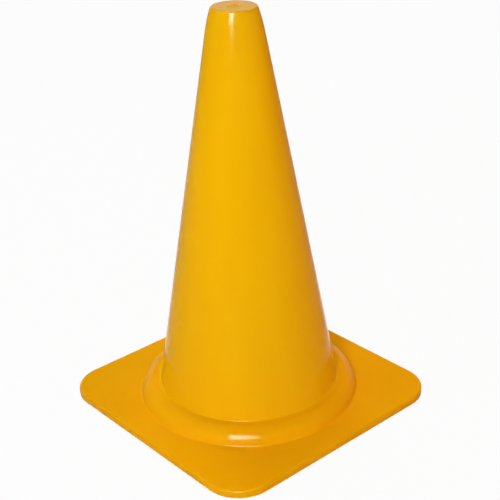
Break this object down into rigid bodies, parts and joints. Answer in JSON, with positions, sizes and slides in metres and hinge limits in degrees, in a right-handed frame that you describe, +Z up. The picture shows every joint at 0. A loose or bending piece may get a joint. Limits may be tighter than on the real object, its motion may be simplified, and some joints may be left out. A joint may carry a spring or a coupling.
{
  "type": "sports marker cone",
  "caption": "Hollow stackable plastic marker cone with a closed flat tip, snapped into a square base with a raised round collar, rounded corners and a low down-turned rim.",
  "frame": {"origin": "middle of the base's footprint, on the ground", "axes": "+Z up the cone's axis; X and Y square to the sides of the base"},
  "size_m": [0.257, 0.257, 0.38],
  "materials": {
    "amber_plastic": "glossy moulded polyethylene in amber yellow, with a faint orange peel"
  },
  "bodies": {
    "root": {"cone_body": "amber_plastic", "square_base": "amber_plastic"}
  },
  "joints": []
}
